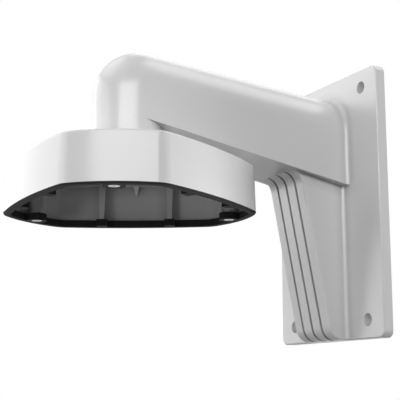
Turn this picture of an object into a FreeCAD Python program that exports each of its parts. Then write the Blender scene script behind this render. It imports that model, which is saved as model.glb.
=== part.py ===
"""Camera wall bracket: one die-cast arm, the rubber seal on its cap and three camera screws.

Millimetres, +Z up. The wall is the plane Y = 0 and the arm reaches out to -Y.
The origin is the centre of the four wall holes, on the plate's back face.
"""
import FreeCAD
import Part
import math
import os

V = FreeCAD.Vector

# Wall plate
PLATE_W = 118.0
PLATE_H = 182.0
PLATE_T = 7.4
PLATE_CORNER_R = 5.0
PLATE_EDGE_R = 0.9
HOLE_MARGIN_X = 16.5
HOLE_MARGIN_Z = 12.25
HOLE_R = 4.25
HOLE_BOSS_R = 9.0
PLATE_SKIN = 3.4
PLATE_RIM = 4.0
POCKET_CORNER_R = 3.0
BACK_RIB_T = 2.6

# Hollow arm: an arch section that grows towards the wall
ARM_WALL = 4.0
ARM_HALF_W_AT_WALL = 26.3
ARM_TOP_AT_WALL = 77.15
ARM_TOP_RISE = 0.0855
ARM_FLOOR_AT_WALL = 12.6
ARM_FLOOR_RISE = 0.185
ARM_ROOT_FILLET = 3.0

# Elbow and neck
NECK_R = 22.4
NECK_Y = -160.9
ELBOW_R = 28.5
NECK_FOOT_FILLET = 3.0

# Gusset under the arm
GUSSET_HALF_W = 20.2
GUSSET_FACE_AT_ZERO = -38.3
GUSSET_FACE_SLOPE = 0.199
GUSSET_TOP_R = 11.0
GUSSET_SINK = 0.05
GUSSET_FOOT_R = 10.0
GUSSET_WALL = 3.8
GUSSET_FACE_WALL = 6.4
GUSSET_EDGE_R = 1.2
GUSSET_ROOT_FILLET = 2.5
GROOVE_COUNT = 3
GROOVE_PITCH = 10.7
GROOVE_W = 2.2
GROOVE_DEPTH = 3.4
GROOVE_RUNOUT = 0.3

# Cap: a circle with three bowed sides, one of them facing away from the wall
CAP_R = 83.0
CAP_SIDE_IN = 14.6
CAP_BOW_R = 330.0
CAP_CORNER_R = 14.0
CAP_RIM_Z = -11.8
CAP_H = 30.2
CAP_DRAFT = 1.0
CAP_EDGE_R = 1.2
CAP_WALL = 3.0
CAP_ROOF = 3.6
CAP_SIDE_ANGLES = (-90.0, 30.0, 150.0)
CAP_POST_ANGLES = {"left": -150.0, "right": -30.0, "wall": 90.0}

# Ribs inside the cap: two on each bowed side, and a short web between them
RIB_OFFSET = 23.3
RIB_T_LOW = 3.2
RIB_T_HIGH = 4.6
RIB_L = 11.0
WEB_T_LOW = 1.2
WEB_T_HIGH = 4.4
WEB_DROP = 6.0
WEB_REACH = 8.0

# Screw posts inside the cap, each with a rib across it out to the cap's wall
POST_INSET = 9.0
POST_R_LOW = 4.2
POST_R_HIGH = 4.8
POST_RIB_REACH = 7.0
TAP_DEPTH = 14.0

# Rubber seal on the cap's rim
SEAL_LIP_T = 1.3
SEAL_STEP_T = 0.65
SEAL_STEP_IN = 0.5
SEAL_BAND_W = 4.6
SEAL_SKIRT_H = 3.3
SEAL_CLEAR = 0.1
SEAL_TAB_W = 7.1
SEAL_TAB_OUT = 0.4
SEAL_TAB_EDGE_R = 0.8
EAR_R = 6.5
EAR_HOLE_CLEAR = 0.2

# Camera screws
SCREW_HEAD_R = 3.6
SCREW_HEAD_H = 2.6
SCREW_HEAD_EDGE_R = 0.3
SCREW_SINK = 0.2
SCREW_SHANK_R = 2.0
SCREW_SHANK_L = 10.0
SCREW_CLEAR = 0.1
RECESS_L = 3.8
RECESS_W = 0.9
RECESS_DEPTH = 1.2

OVERLAP = 1.0
TOUCH = 0.01

HOLE_SPACING_X = PLATE_W - 2 * HOLE_MARGIN_X
HOLE_SPACING_Z = PLATE_H - 2 * HOLE_MARGIN_Z
BACK_RIB_Z = (-HOLE_SPACING_Z / 3, 0.0, HOLE_SPACING_Z / 3)
TOP_TILT = math.atan(ARM_TOP_RISE)
BEND_Y = NECK_Y - NECK_R + ELBOW_R
BEND_Z = ARM_TOP_AT_WALL - ARM_TOP_RISE * BEND_Y - ELBOW_R / math.cos(TOP_TILT)
CAP_SIDE = CAP_R - CAP_SIDE_IN
CAP_TOP_Z = CAP_RIM_Z + CAP_H
CAP_ROOF_Z = CAP_TOP_Z - CAP_ROOF
RIB_REACH = CAP_SIDE - RIB_L
RIB_BOW = RIB_OFFSET ** 2 / (2 * CAP_BOW_R)
POST_CIRCLE_R = CAP_R - POST_INSET
SEAL_FOOT_Z = CAP_RIM_Z - SEAL_LIP_T
SEAL_TOP_Z = CAP_RIM_Z + SEAL_SKIRT_H
HEAD_FACE_Z = SEAL_FOOT_Z + SCREW_SINK
HEAD_SEAT_Z = HEAD_FACE_Z + SCREW_HEAD_H


def polygon_edges(points):
    return [Part.makeLine(a, b) for a, b in zip(points, points[1:])]


def closed_wire(points):
    return Part.Wire(polygon_edges(points + points[:1]))


def prism_x(wire, half_width, centre_x=0.0):
    """Solid swept along X from a closed side profile drawn at X = 0."""
    face = Part.Face(wire)
    face.translate(V(centre_x - half_width, 0, 0))
    return face.extrude(V(2 * half_width, 0, 0))


def arm_top(y):
    return ARM_TOP_AT_WALL - ARM_TOP_RISE * y


def arm_floor(y):
    return ARM_FLOOR_AT_WALL - ARM_FLOOR_RISE * y


def arch_wire(origin, up, half_width, low, shoulder):
    """Arch section: flat bottom at low, upright sides, half circle above the shoulder."""
    def at(x, height):
        return origin + V(x, 0, 0) + up * height

    right_high = at(half_width, shoulder)
    left_high = at(-half_width, shoulder)
    return Part.Wire([
        Part.makeLine(at(-half_width, low), at(half_width, low)),
        Part.makeLine(at(half_width, low), right_high),
        Part.Arc(right_high, at(0, shoulder + half_width), left_high).toShape(),
        Part.makeLine(left_high, at(-half_width, low)),
    ])


def arm_body(inset, wall_y, foot_z):
    """Arm, elbow and neck as one solid, drawn smaller all round by inset for the hollow."""
    neck_r = NECK_R - inset
    bend_r = ELBOW_R - inset
    bend = V(0, BEND_Y, BEND_Z)
    up = V(0, math.sin(TOP_TILT), math.cos(TOP_TILT))
    low = (arm_floor(BEND_Y) + inset - BEND_Z) / (up.z + ARM_FLOOR_RISE * up.y)
    start = arch_wire(bend, up, neck_r, low, bend_r - neck_r)
    end = arch_wire(
        V(0, wall_y, 0), V(0, 0, 1), ARM_HALF_W_AT_WALL - inset,
        arm_floor(wall_y) + inset, arm_top(wall_y) - ARM_HALF_W_AT_WALL,
    )
    arm = Part.makeLoft([start, end], True, True)
    elbow_start = Part.Face(arch_wire(bend, V(0, -1, 0), neck_r, 0, bend_r - neck_r))
    elbow = elbow_start.revolve(bend, V(-1, 0, 0), 90 + math.degrees(TOP_TILT))
    cheeks = prism_x(closed_wire([
        bend,
        bend + up * low,
        V(0, NECK_Y, arm_floor(NECK_Y) + inset),
        V(0, NECK_Y, BEND_Z),
    ]), neck_r)
    neck = Part.makeCylinder(neck_r, BEND_Z - foot_z, V(0, NECK_Y, foot_z))
    return arm.fuse([elbow, cheeks, neck]).removeSplitter()


def corner_arc(before, corner, after, radius):
    """Start, middle and end of the arc that rounds a corner between two straight runs."""
    back = (before - corner).normalize()
    on = (after - corner).normalize()
    half = back.getAngle(on) / 2
    reach = radius / math.tan(half)
    bisector = (back + on).normalize()
    middle = corner + bisector * (radius / math.sin(half) - radius)
    return corner + back * reach, middle, corner + on * reach


def gusset_path(inset, floor_inset, foot_end_y):
    """Open side path: off the arm's underside, down the slanted face, in under the foot.

    A positive inset moves the face and foot into the metal, a negative one out of it, and
    floor_inset does the same where the path leaves the arm.
    """
    face_y = GUSSET_FACE_AT_ZERO + inset * math.hypot(1, GUSSET_FACE_SLOPE)
    floor_z = ARM_FLOOR_AT_WALL + floor_inset * math.hypot(1, ARM_FLOOR_RISE)
    foot_z = -PLATE_H / 2 + inset
    top_z = (floor_z - ARM_FLOOR_RISE * face_y) / (1 - ARM_FLOOR_RISE * GUSSET_FACE_SLOPE)
    top_corner = V(0, face_y - GUSSET_FACE_SLOPE * top_z, top_z)
    foot_corner = V(0, face_y - GUSSET_FACE_SLOPE * foot_z, foot_z)
    foot_end = V(0, foot_end_y, foot_z)
    along_floor = top_corner + V(0, -1, ARM_FLOOR_RISE)
    top = corner_arc(along_floor, top_corner, foot_corner, GUSSET_TOP_R + inset)
    foot = corner_arc(top_corner, foot_corner, foot_end, GUSSET_FOOT_R - inset)
    edges = [
        Part.Arc(*top).toShape(),
        Part.makeLine(top[2], foot[0]),
        Part.Arc(*foot).toShape(),
        Part.makeLine(foot[2], foot_end),
    ]
    return edges, top[0], foot_end


def gusset_solid(wall_y):
    path, first, last = gusset_path(0, GUSSET_SINK, wall_y)
    inside_arm = ARM_WALL / 2
    close = polygon_edges([
        last,
        V(0, wall_y, arm_floor(wall_y) + inside_arm),
        V(0, first.y, arm_floor(first.y) + inside_arm),
        first,
    ])
    gusset = prism_x(Part.Wire(path + close), GUSSET_HALF_W)
    drawn = [e.CenterOfMass for e in path[:3] + close[-1:]]

    def on_path(edge):
        spot = edge.CenterOfMass
        beside = any(math.hypot(spot.y - p.y, spot.z - p.z) < TOUCH for p in drawn)
        return beside and abs(spot.x) > GUSSET_HALF_W - TOUCH

    return gusset.makeFillet(GUSSET_EDGE_R, [e for e in gusset.Edges if on_path(e)])


def gusset_core():
    """The gusset's hollow, open to the wall side, under the arm's own floor."""
    face_y = GUSSET_FACE_AT_ZERO + GUSSET_FACE_WALL * math.hypot(1, GUSSET_FACE_SLOPE)
    foot_z = -PLATE_H / 2 + GUSSET_FACE_WALL
    top_z = (ARM_FLOOR_AT_WALL - ARM_FLOOR_RISE * face_y) / (1 - ARM_FLOOR_RISE * GUSSET_FACE_SLOPE)
    return prism_x(closed_wire([
        V(0, face_y - GUSSET_FACE_SLOPE * top_z, top_z),
        V(0, face_y - GUSSET_FACE_SLOPE * foot_z, foot_z),
        V(0, OVERLAP, foot_z),
        V(0, OVERLAP, arm_floor(OVERLAP)),
    ]), GUSSET_HALF_W - GUSSET_WALL)


def groove_cutters():
    """Upright grooves that follow the gusset from under the arm round to its foot."""
    foot_end_y = GUSSET_FACE_AT_ZERO + GUSSET_FACE_SLOPE * PLATE_H / 2 + GUSSET_FOOT_R
    outer, outer_first, outer_last = gusset_path(-OVERLAP, -OVERLAP, foot_end_y)
    inner, inner_first, inner_last = gusset_path(GROOVE_DEPTH, GROOVE_RUNOUT, foot_end_y)
    ends = [Part.makeLine(outer_last, inner_last), Part.makeLine(inner_first, outer_first)]
    wire = Part.Wire(Part.sortEdges(outer + inner + ends)[0])
    first_x = -GROOVE_PITCH * (GROOVE_COUNT - 1) / 2
    return [prism_x(wire, GROOVE_W / 2, first_x + GROOVE_PITCH * i) for i in range(GROOVE_COUNT)]


def runs_along_y(edge):
    return abs(edge.tangentAt(edge.FirstParameter).y) > 0.9


def wall_plate():
    plate = Part.makeBox(PLATE_W, PLATE_T, PLATE_H, V(-PLATE_W / 2, -PLATE_T, -PLATE_H / 2))
    plate = plate.makeFillet(PLATE_CORNER_R, [e for e in plate.Edges if runs_along_y(e)])
    front = [e for e in plate.Edges if e.BoundBox.YMax < -PLATE_T + TOUCH]
    return plate.makeFillet(PLATE_EDGE_R, front)


def upright_on_plate(body, half_width):
    """The body's edges that lie on the plate's front within half_width and run up it."""
    found = []
    for edge in body.Edges:
        box = edge.BoundBox
        on_front = max(abs(box.YMin + PLATE_T), abs(box.YMax + PLATE_T)) < TOUCH
        if on_front and abs(edge.CenterOfMass.x) < half_width and box.ZLength > PLATE_EDGE_R:
            found.append(edge)
    return found


def arm_on_plate():
    """Plate, gusset and arm in one, with the rounded roots that a casting has."""
    body = gusset_solid(-PLATE_T / 2).fuse(wall_plate()).removeSplitter()
    body = body.makeFillet(GUSSET_ROOT_FILLET, upright_on_plate(body, GUSSET_HALF_W + TOUCH))
    body = body.fuse(arm_body(0, -PLATE_T / 2, CAP_TOP_Z - CAP_ROOF / 2)).removeSplitter()
    floor_z = arm_floor(-PLATE_T)
    roots = [e for e in upright_on_plate(body, ARM_HALF_W_AT_WALL + TOUCH) if e.CenterOfMass.z > floor_z]
    return body.makeFillet(ARM_ROOT_FILLET, roots)


def wall_hole_rods(radius):
    rods = []
    for x in (-HOLE_SPACING_X / 2, HOLE_SPACING_X / 2):
        for z in (-HOLE_SPACING_Z / 2, HOLE_SPACING_Z / 2):
            start = V(x, -PLATE_T - OVERLAP, z)
            rods.append(Part.makeCylinder(radius, PLATE_T + 2 * OVERLAP, start, V(0, 1, 0)))
    return rods


def plate_pocket():
    """The cored back of the plate, less the hole bosses, the ribs and the arm's own walls."""
    depth = PLATE_T - PLATE_SKIN + OVERLAP
    width = PLATE_W - 2 * PLATE_RIM
    height = PLATE_H - 2 * PLATE_RIM
    pocket = Part.makeBox(width, depth, height, V(-width / 2, PLATE_SKIN - PLATE_T, -height / 2))
    pocket = pocket.makeFillet(POCKET_CORNER_R, [e for e in pocket.Edges if runs_along_y(e)])
    keep = wall_hole_rods(HOLE_BOSS_R)
    for z in BACK_RIB_Z:
        corner = V(-PLATE_W / 2, -PLATE_T, z - BACK_RIB_T / 2)
        keep.append(Part.makeBox(PLATE_W, PLATE_T + 2 * OVERLAP, BACK_RIB_T, corner))
    keep.append(arm_body(0, 2 * OVERLAP, CAP_TOP_Z))
    keep.append(gusset_solid(2 * OVERLAP))
    return pocket.cut(keep)


def cap_outline(inset, z):
    """Closed plan wire of the cap at one height, all of it moved inwards by inset."""
    circle_r = CAP_R - inset
    bow_r = CAP_BOW_R - inset
    corner_r = CAP_CORNER_R - inset
    bow_back = CAP_BOW_R - CAP_SIDE
    # each corner's centre lies corner_r inside both the circle and the bowed side
    to_corner = circle_r - corner_r
    to_bow = bow_r - corner_r
    cos_a = (to_corner ** 2 + bow_back ** 2 - to_bow ** 2) / (2 * to_corner * bow_back)
    corner_turn = math.pi - math.acos(cos_a)
    middle = V(0, NECK_Y, z)

    def spot(centre, radius, angle):
        return centre + V(math.cos(angle), math.sin(angle), 0) * radius

    edges = []
    for degrees in CAP_SIDE_ANGLES:
        side = math.radians(degrees)
        bow_centre = spot(middle, -bow_back, side)
        bow_turn = math.asin(to_corner * math.sin(corner_turn) / to_bow)
        ends = []
        for sign in (-1, 1):
            centre = spot(middle, to_corner, side + sign * corner_turn)
            on_circle = spot(centre, corner_r, side + sign * corner_turn)
            on_corner = spot(centre, corner_r, side + sign * (corner_turn + bow_turn) / 2)
            on_bow = spot(centre, corner_r, side + sign * bow_turn)
            ends.append((on_circle, on_corner, on_bow))
        start, end = ends
        to_next = math.radians(360 / len(CAP_SIDE_ANGLES))
        arc_mid = spot(middle, circle_r, side + to_next / 2)
        arc_end = spot(middle, circle_r, side + to_next - corner_turn)
        edges.append(Part.Arc(*start).toShape())
        edges.append(Part.Arc(start[2], spot(bow_centre, bow_r, side), end[2]).toShape())
        edges.append(Part.Arc(end[2], end[1], end[0]).toShape())
        edges.append(Part.Arc(end[0], arc_mid, arc_end).toShape())
    return Part.Wire(Part.sortEdges(edges)[0])


def cap_prism(inset_low, z_low, inset_high, z_high):
    return Part.makeLoft([cap_outline(inset_low, z_low), cap_outline(inset_high, z_high)], True, True)


def cap_outside():
    cap = cap_prism(0, CAP_RIM_Z, CAP_DRAFT, CAP_TOP_Z)
    top = [e for e in cap.Edges if e.BoundBox.ZMin > CAP_TOP_Z - TOUCH]
    return cap.makeFillet(CAP_EDGE_R, top)


def cap_wall_inset(z):
    """How far the cap's inner wall lies inside the rim's outline, with its draft."""
    return CAP_WALL + CAP_DRAFT * (z - CAP_RIM_Z) / (CAP_ROOF_Z - CAP_RIM_Z)


def cap_hollow():
    low = CAP_RIM_Z - OVERLAP
    return cap_prism(cap_wall_inset(low), low, cap_wall_inset(CAP_ROOF_Z), CAP_ROOF_Z)


def turned(shape, degrees):
    """A piece drawn with outwards along +X, put at one of the cap's sides or posts."""
    placed = shape.copy()
    placed.rotate(V(0, 0, 0), V(0, 0, 1), degrees)
    placed.translate(V(0, NECK_Y, 0))
    return placed


def plan_rectangle(x_from, x_to, half_y, centre_y, z):
    return closed_wire([
        V(x_from, centre_y - half_y, z),
        V(x_to, centre_y - half_y, z),
        V(x_to, centre_y + half_y, z),
        V(x_from, centre_y + half_y, z),
    ])


def inner_ribs():
    """Two drafted ribs and one short web inside each bowed side."""
    in_wall = CAP_SIDE - CAP_WALL / 2
    high = CAP_ROOF_Z + OVERLAP
    pieces = []
    for y in (-RIB_OFFSET, RIB_OFFSET):
        low_wire = plan_rectangle(RIB_REACH, in_wall - RIB_BOW, RIB_T_LOW / 2, y, SEAL_TOP_Z)
        high_wire = plan_rectangle(RIB_REACH, in_wall - RIB_BOW, RIB_T_HIGH / 2, y, high)
        pieces.append(Part.makeLoft([low_wire, high_wire], True, True))
    tip = plan_rectangle(in_wall - CAP_WALL, in_wall, WEB_T_LOW / 2, 0, CAP_ROOF_Z - WEB_DROP)
    root = plan_rectangle(in_wall - WEB_REACH, in_wall, WEB_T_HIGH / 2, 0, high)
    pieces.append(Part.makeLoft([tip, root], True, True))
    return [turned(piece, side) for side in CAP_SIDE_ANGLES for piece in pieces]


def screw_posts():
    """Ribbed posts from the cap's roof, each with a nose that carries the screw head."""
    at = V(POST_CIRCLE_R, 0, SEAL_TOP_Z)
    high = CAP_ROOF_Z + OVERLAP
    post = Part.makeCone(POST_R_LOW, POST_R_HIGH, high - SEAL_TOP_Z, at)
    inner = POST_CIRCLE_R - POST_RIB_REACH
    outer = CAP_R - CAP_WALL / 2
    low_wire = plan_rectangle(inner, outer, RIB_T_LOW / 2, 0, SEAL_TOP_Z)
    high_wire = plan_rectangle(inner, outer, RIB_T_HIGH / 2, 0, high)
    post = post.fuse(Part.makeLoft([low_wire, high_wire], True, True))
    nose_h = SEAL_TOP_Z - HEAD_SEAT_Z + OVERLAP
    nose = Part.makeCylinder(SCREW_HEAD_R, nose_h, V(POST_CIRCLE_R, 0, HEAD_SEAT_Z))
    post = post.fuse(nose)
    return [turned(post, angle) for angle in CAP_POST_ANGLES.values()]


def tapped_holes():
    start = V(POST_CIRCLE_R, 0, HEAD_SEAT_Z - OVERLAP)
    hole = Part.makeCylinder(SCREW_SHANK_R + SCREW_CLEAR, TAP_DEPTH + OVERLAP, start)
    return [turned(hole, angle) for angle in CAP_POST_ANGLES.values()]


def bracket_casting():
    body = arm_on_plate().cut(groove_cutters())
    body = body.fuse(cap_outside()).removeSplitter()
    neck_foot = V(0, NECK_Y, CAP_TOP_Z)
    foot = [
        e for e in body.Edges
        if e.BoundBox.ZLength < TOUCH and e.CenterOfMass.distanceToPoint(neck_foot) < NECK_R
    ]
    body = body.makeFillet(NECK_FOOT_FILLET, foot)
    cores = [arm_body(ARM_WALL, OVERLAP, CAP_ROOF_Z - OVERLAP), gusset_core(), plate_pocket(), cap_hollow()]
    body = body.cut(cores + wall_hole_rods(HOLE_R))
    body = body.fuse(inner_ribs() + screw_posts())
    return body.cut(tapped_holes()).removeSplitter()


def cap_seal():
    """Rubber ring: a stepped lip under the rim, a skirt inside it, three ears and six tabs."""
    step_z = CAP_RIM_Z - SEAL_STEP_T
    skirt_out = cap_wall_inset(SEAL_TOP_Z) + SEAL_CLEAR
    lip = cap_prism(0, step_z, 0, CAP_RIM_Z)
    foot = cap_prism(SEAL_STEP_IN, SEAL_FOOT_Z, SEAL_STEP_IN, step_z)
    inside = cap_prism(skirt_out, SEAL_FOOT_Z, skirt_out, SEAL_TOP_Z)
    opening = cap_prism(SEAL_BAND_W, SEAL_FOOT_Z - OVERLAP, SEAL_BAND_W, SEAL_TOP_Z + OVERLAP)
    ring = lip.fuse([foot, inside]).cut(opening)
    height = SEAL_TOP_Z - SEAL_FOOT_Z
    ear = Part.makeCylinder(EAR_R, height, V(POST_CIRCLE_R, 0, SEAL_FOOT_Z))
    tab_in = RIB_REACH - SEAL_TAB_OUT
    tab_l = CAP_SIDE - SEAL_BAND_W - RIB_BOW + SEAL_CLEAR - tab_in
    tab = Part.makeBox(tab_l, SEAL_TAB_W, height, V(tab_in, -SEAL_TAB_W / 2, SEAL_FOOT_Z))
    inner_edges = [e for e in tab.Edges if e.BoundBox.XMax < tab_in + TOUCH and e.BoundBox.ZLength > height / 2]
    tab = tab.makeFillet(SEAL_TAB_EDGE_R, inner_edges)
    added = [turned(ear, angle) for angle in CAP_POST_ANGLES.values()]
    for side in CAP_SIDE_ANGLES:
        for y in (-RIB_OFFSET, RIB_OFFSET):
            moved = tab.copy()
            moved.translate(V(0, y, 0))
            added.append(turned(moved, side))
    added = [piece.common(inside) for piece in added]
    start = V(POST_CIRCLE_R, 0, SEAL_FOOT_Z - OVERLAP)
    hole = Part.makeCylinder(SCREW_HEAD_R + EAR_HOLE_CLEAR, height + 2 * OVERLAP, start)
    holes = [turned(hole, angle) for angle in CAP_POST_ANGLES.values()]
    return ring.fuse(added).cut(holes).removeSplitter()


def camera_screw(angle):
    """Cheese-head machine screw with a cross recess, head down, seated on its post."""
    at = V(POST_CIRCLE_R, 0, HEAD_FACE_Z)
    head = Part.makeCylinder(SCREW_HEAD_R, SCREW_HEAD_H, at)
    rim = [e for e in head.Edges if e.BoundBox.ZMax < HEAD_FACE_Z + TOUCH]
    head = head.makeFillet(SCREW_HEAD_EDGE_R, rim)
    shank = Part.makeCylinder(SCREW_SHANK_R, SCREW_SHANK_L + OVERLAP, V(POST_CIRCLE_R, 0, HEAD_SEAT_Z - OVERLAP))
    bars = []
    for length, width in ((RECESS_L, RECESS_W), (RECESS_W, RECESS_L)):
        corner = V(POST_CIRCLE_R - length / 2, -width / 2, HEAD_FACE_Z - OVERLAP)
        bars.append(Part.makeBox(length, width, RECESS_DEPTH + OVERLAP, corner))
    return turned(head.fuse(shank).cut(bars).removeSplitter(), angle)


def write_parts():
    pieces = {"bracket_casting": bracket_casting(), "cap_seal": cap_seal()}
    for place, angle in CAP_POST_ANGLES.items():
        pieces["camera_screw_" + place] = camera_screw(angle)
    os.makedirs("parts", exist_ok=True)
    for name, shape in pieces.items():
        solids = shape.Solids
        print(name, len(solids), "solid,", round(shape.Volume / 1000, 2), "cm3, valid", shape.isValid())
        solids[0].exportStep("parts/" + name + ".step")


write_parts()
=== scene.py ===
"""A white camera wall bracket, seen from below its cap in a plain pale studio.

Metres, +Z up. The wall would be the plane Y = 0, and the arm reaches out to -Y.
"""
import math

import bpy
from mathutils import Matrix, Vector


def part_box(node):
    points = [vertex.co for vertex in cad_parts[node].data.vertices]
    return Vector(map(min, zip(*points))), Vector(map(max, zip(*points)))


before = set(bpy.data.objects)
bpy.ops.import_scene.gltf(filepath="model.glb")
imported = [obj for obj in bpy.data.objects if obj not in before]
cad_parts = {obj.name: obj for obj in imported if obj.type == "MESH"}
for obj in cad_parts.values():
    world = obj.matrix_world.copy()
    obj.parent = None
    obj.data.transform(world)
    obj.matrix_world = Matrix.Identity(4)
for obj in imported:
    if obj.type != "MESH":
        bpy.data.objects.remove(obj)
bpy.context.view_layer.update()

scene = bpy.context.scene


# Casting: wall plate, arm, neck, gusset and cap are one hollow aluminium die casting, blasted
# and powder coated white, so it has a satin sheen and a fine orange peel. The powder builds up
# unevenly. Painted shade greys the white in grooves, holes and inside corners.
class Value:
    """A number that varies over a surface: arithmetic on it adds Math nodes to its tree."""

    def __init__(self, nodes, socket):
        self.nodes = nodes
        self.socket = socket

    def math(self, operation, other=0.0):
        return self.nodes.node("ShaderNodeMath", {"operation": operation}, self, other)

    def __add__(self, other):
        return self.math("ADD", other)

    def __mul__(self, other):
        return self.math("MULTIPLY", other)

    __radd__ = __add__
    __rmul__ = __mul__


class Nodes:
    """A node tree, with one method that adds any node to it."""

    def __init__(self, tree):
        self.tree = tree

    def node(self, kind, settings, *inputs, output=0, **named):
        """Add a node: settings first, then sockets in order or by name. Returns one output."""
        node = self.tree.nodes.new(kind)
        for key, value in settings.items():
            setattr(node, key, value)
        for key, value in enumerate(inputs):
            self.feed(node.inputs[key], value)
        for key, value in named.items():
            self.feed(node.inputs[key.replace("_", " ")], value)
        return Value(self, node.outputs[output])

    def feed(self, socket, value):
        """Link a Value to a socket, or set a plain one on it."""
        if isinstance(value, Value):
            self.tree.links.new(value.socket, socket)
        else:
            socket.default_value = value


class Finish(Nodes):
    """A material built up from nodes, with one Principled BSDF at its end."""

    def __init__(self, name):
        self.material = bpy.data.materials.new(name)
        self.material.use_nodes = True
        super().__init__(self.material.node_tree)
        self.surface = self.tree.nodes["Principled BSDF"]
        self.place = self.node("ShaderNodeTexCoord", {}, output="Object")

    def set(self, **named):
        """Set or link the surface's own sockets."""
        for key, value in named.items():
            self.feed(self.surface.inputs[key.replace("_", " ")], value)

    def noise(self, size, detail):
        """Soft noise with features about size metres across, centred on 0.5."""
        return self.node("ShaderNodeTexNoise", {}, Vector=self.place, Scale=1 / size, Detail=detail)

    def mix(self, factor, first, second):
        """A colour from first, where the factor is 0, to second, where it is 1."""
        node = self.tree.nodes.new("ShaderNodeMix")
        node.data_type = "RGBA"
        self.feed(node.inputs[0], factor)
        self.feed(node.inputs[6], first)
        self.feed(node.inputs[7], second)
        return Value(self, node.outputs[2])

    def bump(self, height, distance):
        """Raise the surface by up to distance metres where the height is 1."""
        self.set(Normal=self.node("ShaderNodeBump", {}, Height=height, Distance=distance))

    def put_on(self, name):
        """Give the finish to a node of the part."""
        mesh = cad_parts[name].data
        mesh.materials.clear()
        mesh.materials.append(self.material)


BUILD_UP_SIZE = 0.045
PEEL_SIZE = 0.0011
PEEL_DEPTH = 0.00006
COAT_GRIT_SIZE = 0.00035
RECESS_REACH = 0.009
# The grey painted into recesses as shade.
PAINTED_SHADE_GREY = (0.33, 0.33, 0.335, 1)
COOL_WHITE = (0.77, 0.77, 0.774, 1)
FULL_WHITE = (0.785, 0.785, 0.785, 1)

coat = Finish("white_powder_coat")
build_up = coat.noise(BUILD_UP_SIZE, 3.0)
peel = coat.noise(PEEL_SIZE, 1.0)
grit = coat.noise(COAT_GRIT_SIZE, 1.0)
# Ambient occlusion: 1 in the open, and less where other walls stand nearer than RECESS_REACH.
# It mixes painted shade into the coat's colour.
painted_shade_openness = coat.node(
    "ShaderNodeAmbientOcclusion", {"samples": 16}, Distance=RECESS_REACH, output="AO"
)
# Base colour: painted shade greys the white where ambient occlusion falls in recesses.
coat.set(
    Base_Color=coat.mix(painted_shade_openness, PAINTED_SHADE_GREY, coat.mix(build_up, COOL_WHITE, FULL_WHITE)),
    Roughness=0.24 + 0.02 * build_up + 0.03 * grit,
    Specular_IOR_Level=0.75,
)
coat.bump(0.8 * peel + 0.2 * grit, PEEL_DEPTH)
coat.put_on("bracket_casting")


# Seal: a moulded ring of soft black rubber pressed onto the cap's rim. Its skin is matt, with
# the fine grey bloom of talc that such rubber keeps.
TALC_SIZE = 0.004
SKIN_SIZE = 0.0004
SKIN_DEPTH = 0.00005
CLEAN_BLACK = (0.018, 0.018, 0.019, 1)
DUSTED_BLACK = (0.032, 0.032, 0.033, 1)

rubber = Finish("black_rubber")
talc = rubber.noise(TALC_SIZE, 4.0)
rubber.set(
    Base_Color=rubber.mix(talc, CLEAN_BLACK, DUSTED_BLACK),
    Roughness=0.7 + 0.15 * talc,
    Specular_IOR_Level=0.2,
)
rubber.bump(rubber.noise(SKIN_SIZE, 2.0), SKIN_DEPTH)
rubber.put_on("cap_seal")


# Camera screws: zinc plated steel, one in each ear of the seal. The turned heads have fine
# rings round their axis, about 0.35 mm apart.
RING_RATE = 18000
RING_DEPTH = 0.00001
TARNISH_SIZE = 0.003
DULL_ZINC = (0.66, 0.66, 0.65, 1)
BRIGHT_ZINC = (0.8, 0.8, 0.79, 1)

for seat in ("left", "right", "wall"):
    screw = "camera_screw_" + seat
    low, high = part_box(screw)
    axis = ((low.x + high.x) / 2, (low.y + high.y) / 2, 0)
    zinc = Finish("zinc_plated_steel_" + seat)
    from_axis = zinc.node("ShaderNodeVectorMath", {"operation": "SUBTRACT"}, zinc.place, axis)
    radius = zinc.node("ShaderNodeVectorMath", {"operation": "LENGTH"}, from_axis, output="Value")
    tarnish = zinc.noise(TARNISH_SIZE, 3.0)
    zinc.set(
        Base_Color=zinc.mix(tarnish, DULL_ZINC, BRIGHT_ZINC),
        Metallic=1.0,
        Roughness=0.3 + 0.1 * tarnish,
    )
    zinc.bump((radius * RING_RATE).math("SINE"), RING_DEPTH)
    zinc.put_on(screw)


# Floor and surround: a wide pale floor well below the bracket and white all round. Both look
# pale wherever they are seen, in a mirror too, but throw little light back up under the bracket.
def seen_or_mirrored(nodes):
    """1 on rays from the camera, and off or through shiny things, and 0 on rays that give light."""
    rays = [
        nodes.node("ShaderNodeLightPath", {}, output=name)
        for name in ("Is Camera Ray", "Is Glossy Ray", "Is Transmission Ray")
    ]
    return (rays[0] + rays[1] + rays[2]).math("MINIMUM", 1.0)


FLOOR_Z = -0.9
FLOOR_HALF = 2.4
FLOOR_CORNERS = ((-1, -1), (1, -1), (1, 1), (-1, 1))
UNSEEN_GREY = (0.15, 0.15, 0.15, 1)
SEEN_GREY = (0.35, 0.35, 0.35, 1)
NO_GLOW = (0, 0, 0, 1)
PALE_GLOW = (0.62, 0.62, 0.62, 1)

floor_mesh = bpy.data.meshes.new("studio_floor")
floor_points = [(x * FLOOR_HALF, y * FLOOR_HALF, FLOOR_Z) for x, y in FLOOR_CORNERS]
floor_mesh.from_pydata(floor_points, [], [(0, 1, 2, 3)])
floor = bpy.data.objects.new("studio_floor", floor_mesh)
scene.collection.objects.link(floor)
pale = Finish("pale_floor")
looked_at = seen_or_mirrored(pale)
pale.set(
    Base_Color=pale.mix(looked_at, UNSEEN_GREY, SEEN_GREY),
    Emission_Color=pale.mix(looked_at, NO_GLOW, PALE_GLOW),
    Emission_Strength=1.0,
    Roughness=0.9,
)
floor_mesh.materials.append(pale.material)

world = bpy.data.worlds.new("white_surround")
world.use_nodes = True
scene.world = world
surround = Nodes(world.node_tree)
background = world.node_tree.nodes["Background"]
background.inputs["Color"].default_value = (1, 1, 1, 1)
surround.feed(background.inputs["Strength"], seen_or_mirrored(surround))


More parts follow.
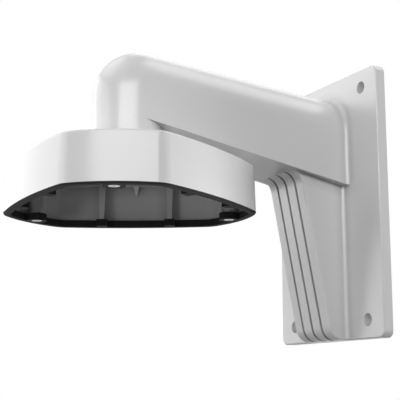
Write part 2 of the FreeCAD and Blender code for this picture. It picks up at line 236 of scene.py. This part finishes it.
# Lights: soft boxes round the bracket with dark gaps between them, which draw the bright and
# dark bands on the neck. The last is a small one that lights the inside of the cap.
AIM = Vector((0.0, -0.12, 0.0))


def softbox(name, bearing, elevation, width, height, watts, distance=1.2):
    """A light aimed at the bracket; bearing 0 is +X and -90 is -Y, seen from above."""
    lamp = bpy.data.lights.new(name, "AREA")
    lamp.shape = "RECTANGLE"
    lamp.size = width
    lamp.size_y = height
    lamp.energy = watts
    turn = math.radians(bearing)
    rise = math.radians(elevation)
    out = Vector((math.cos(turn) * math.cos(rise), math.sin(turn) * math.cos(rise), math.sin(rise)))
    light = bpy.data.objects.new(name, lamp)
    light.location = AIM + out * distance
    light.rotation_euler = out.to_track_quat("Z", "Y").to_euler()
    light.visible_camera = False
    scene.collection.objects.link(light)


softbox("wall_side_softbox", bearing=80, elevation=-4, width=0.5, height=0.5, watts=10.6)
softbox("camera_side_softbox", bearing=-27, elevation=19, width=1.25, height=0.4, watts=8.0)
softbox("front_left_softbox", bearing=-146, elevation=14, width=1.5, height=0.8, watts=6.4)
softbox("front_softbox", bearing=-100, elevation=12, width=0.42, height=0.42, watts=1.1)
softbox("high_front_softbox", bearing=-128, elevation=56, width=1.1, height=0.7, watts=3.2)
softbox("high_wall_softbox", bearing=62, elevation=58, width=0.7, height=0.7, watts=3.5)
softbox("high_back_softbox", bearing=140, elevation=50, width=0.6, height=0.6, watts=1.1)
softbox(
    "inside_softbox", bearing=-75, elevation=-16, width=0.24, height=0.12, watts=0.56, distance=0.8
)


# Camera: on the arm's open side and a little below the cap, looking slightly up.
BEARING = 61.55
PITCH = 11.04
FOCAL_PX = 1004.3
FRAME_PX = 400

camera_data = bpy.data.cameras.new("camera")
camera_data.sensor_width = 36.0
camera_data.lens = FOCAL_PX / FRAME_PX * camera_data.sensor_width
camera = bpy.data.objects.new("camera", camera_data)
camera.location = (0.56823, -0.41664, -0.12761)
camera.rotation_euler = (math.radians(90 + PITCH), 0, math.radians(BEARING))
scene.collection.objects.link(camera)
scene.camera = camera

scene.view_settings.view_transform = "Standard"
